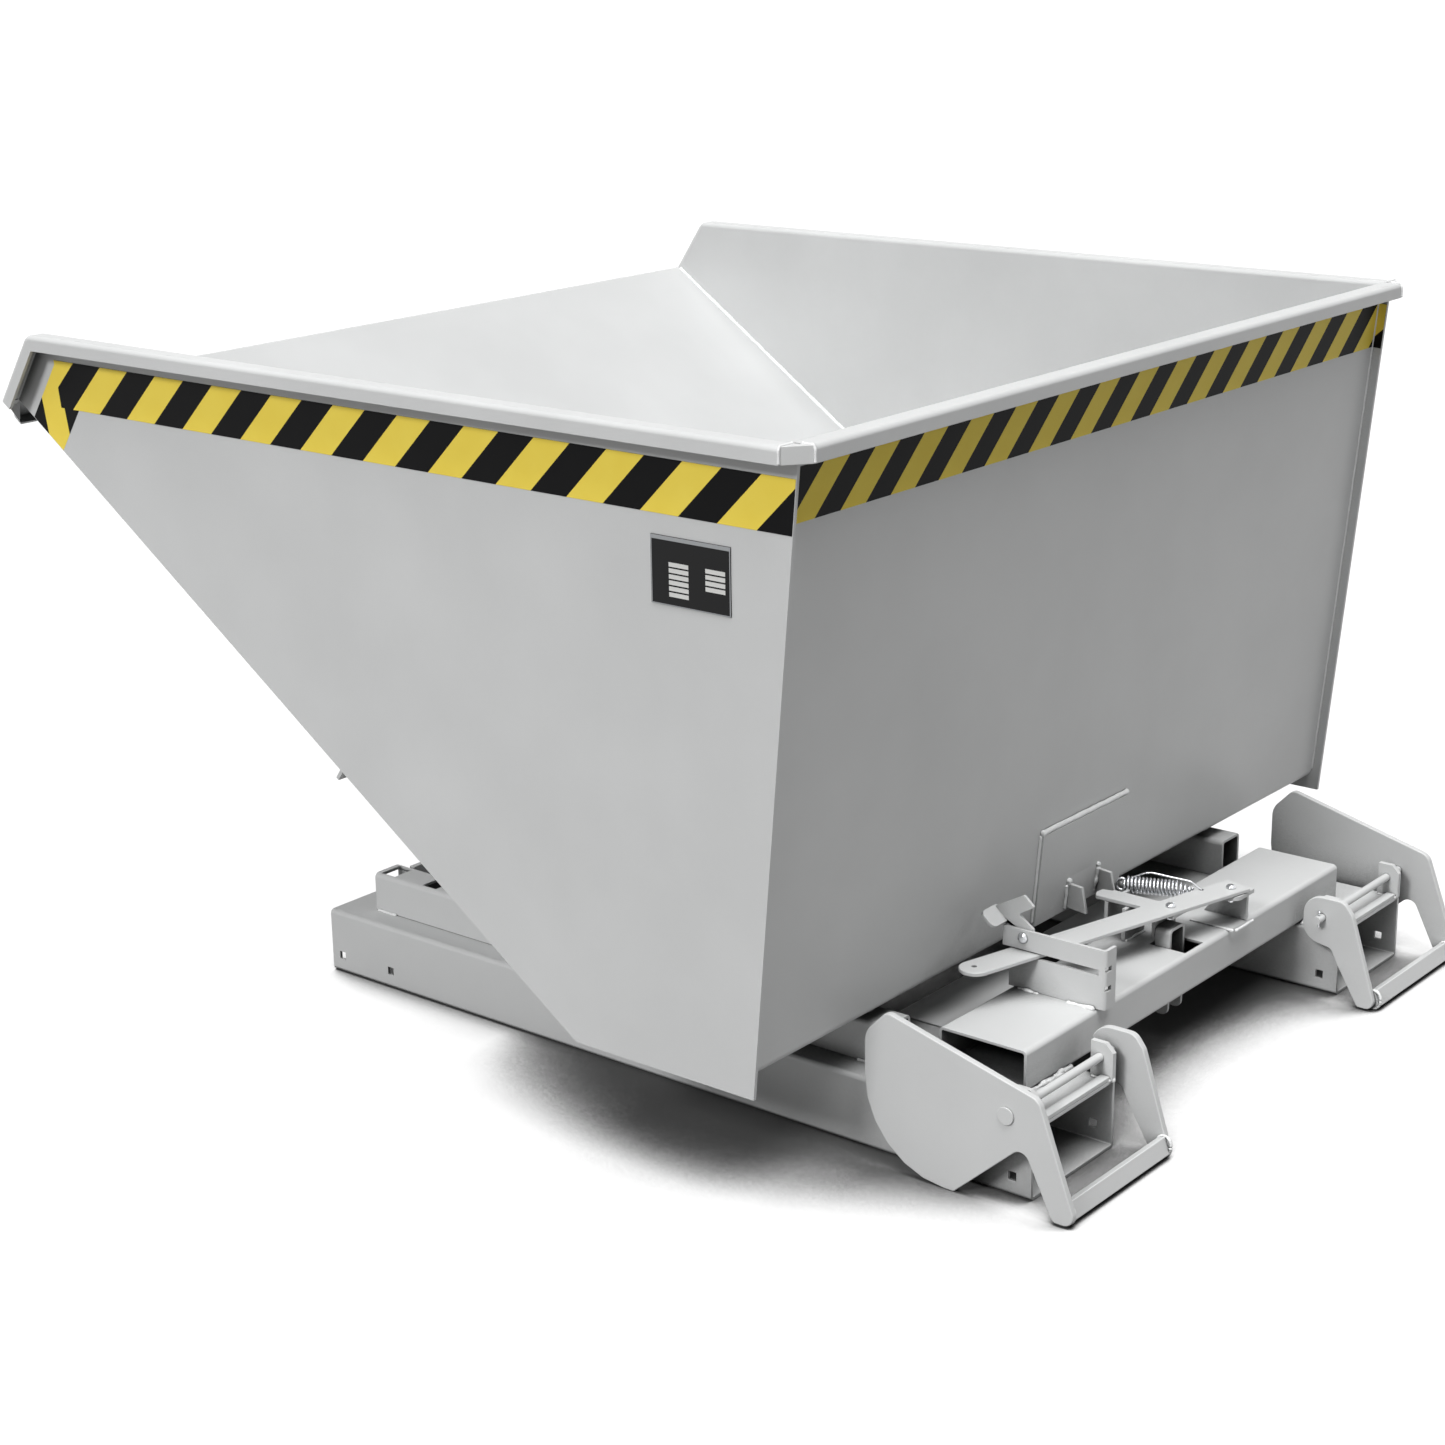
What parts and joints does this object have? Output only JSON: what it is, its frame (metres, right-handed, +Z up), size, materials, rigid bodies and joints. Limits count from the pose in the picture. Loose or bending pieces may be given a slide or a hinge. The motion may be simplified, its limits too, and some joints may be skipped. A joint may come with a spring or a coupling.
{
  "type": "tipping hopper dumpster",
  "caption": "Roll-off tipping hopper dumpster on a fork-pocket frame, with toothed rockers on slotted tracks, a sprung latch lever, a trip strap and swinging fork-lock yokes.",
  "frame": {"origin": "on the ground, under the middle of the whole object", "axes": "+X to the right seen from the side where the forks leave, across the hopper; +Y towards the side where the forks enter; +Z up"},
  "size_m": [1.5664, 1.7383, 1],
  "materials": {
    "light_grey_paint": "semi-gloss",
    "bright_zinc": "bright zinc plate",
    "black_plate": "satin"
  },
  "bodies": {
    "frame": {"fork_pocket_right": "light_grey_paint", "fork_pocket_left": "light_grey_paint", "roll_track_right": "light_grey_paint", "roll_track_left": "light_grey_paint", "front_cross_member": "light_grey_paint", "rear_beam": "light_grey_paint", "pocket_strip_right": "light_grey_paint", "pocket_strip_left": "light_grey_paint", "yoke_ear_right_outer": "light_grey_paint", "yoke_ear_right_inner": "light_grey_paint", "yoke_ear_left_outer": "light_grey_paint", "yoke_ear_left_inner": "light_grey_paint", "yoke_pin_right": "light_grey_paint", "yoke_pin_left": "light_grey_paint", "split_pin_right": "bright_zinc", "split_pin_left": "bright_zinc", "guide_bracket": "light_grey_paint", "pivot_bracket": "light_grey_paint", "latch_rest": "light_grey_paint", "lever_support": "light_grey_paint", "trip_ear_right": "light_grey_paint", "trip_ear_left": "light_grey_paint", "trip_pin": "bright_zinc", "lever_pivot_bolt": "bright_zinc", "lever_pivot_nut": "bright_zinc", "pawl_bolt": "bright_zinc", "pawl_nut": "bright_zinc", "tension_spring": "bright_zinc"},
    "carrier": {"roll_carrier": "light_grey_paint"},
    "hopper": {"trough": "light_grey_paint", "side_plate_right": "light_grey_paint", "side_plate_left": "light_grey_paint", "corner_patch_right": "light_grey_paint", "corner_patch_left": "light_grey_paint", "rocker_right": "light_grey_paint", "rocker_left": "light_grey_paint", "floor_stiffener": "light_grey_paint", "doubler_plate": "light_grey_paint", "catch_cheek_right": "light_grey_paint", "catch_cheek_left": "light_grey_paint", "catch_ramp": "light_grey_paint", "name_plate": "black_plate"},
    "lever": {"latch_lever": "light_grey_paint", "trip_tab": "light_grey_paint", "tab_bolt": "bright_zinc", "tab_nut": "bright_zinc"},
    "strap": {"trip_strap": "light_grey_paint"},
    "pawl": {"safety_pawl": "light_grey_paint"},
    "yoke_right": {"yoke_right_plate": "light_grey_paint", "yoke_right_arm": "light_grey_paint", "yoke_right_bar": "light_grey_paint"},
    "yoke_left": {"yoke_left_plate": "light_grey_paint", "yoke_left_arm": "light_grey_paint", "yoke_left_bar": "light_grey_paint"}
  },
  "joints": [
    {"name": "hopper_roll", "type": "slide", "parent": "frame", "child": "carrier", "axis": [0, -1, 0], "range_m": [0, 0.3927]},
    {"name": "hopper_tilt", "type": "hinge", "parent": "carrier", "child": "hopper", "pos_m": [0, -0.034, 0.4606], "axis": [1, 0, 0], "range_deg": [0, 75]},
    {"name": "lever_turn", "type": "hinge", "parent": "frame", "child": "lever", "pos_m": [-0.1195, 0.708, 0.213], "axis": [0, 0, 1], "range_deg": [0, 10], "stiffness_Nm_per_rad": 2, "springref_deg": -20.05, "deforming": ["tension_spring"]},
    {"name": "strap_swing", "type": "hinge", "parent": "frame", "child": "strap", "pos_m": [-0.0065, 0.675, 0.118], "axis": [-1, 0, 0], "range_deg": [0, 26.5]},
    {"name": "pawl_flip", "type": "hinge", "parent": "frame", "child": "pawl", "pos_m": [0.2535, 0.6, 0.235], "axis": [-1, 0, 0], "range_deg": [0, 95]},
    {"name": "yoke_right_swing", "type": "hinge", "parent": "frame", "child": "yoke_right", "pos_m": [0.424, 0.768, 0.13], "axis": [1, 0, 0], "range_deg": [0, 40]},
    {"name": "yoke_left_swing", "type": "hinge", "parent": "frame", "child": "yoke_left", "pos_m": [-0.424, 0.768, 0.13], "axis": [1, 0, 0], "range_deg": [0, 40]}
  ],
  "couplings": [
    {"joint": "hopper_roll", "follows": "hopper_tilt", "m_per_rad": 0.3},
    {"joint": "strap_swing", "follows": "lever_turn", "ratio": 2.6}
  ]
}
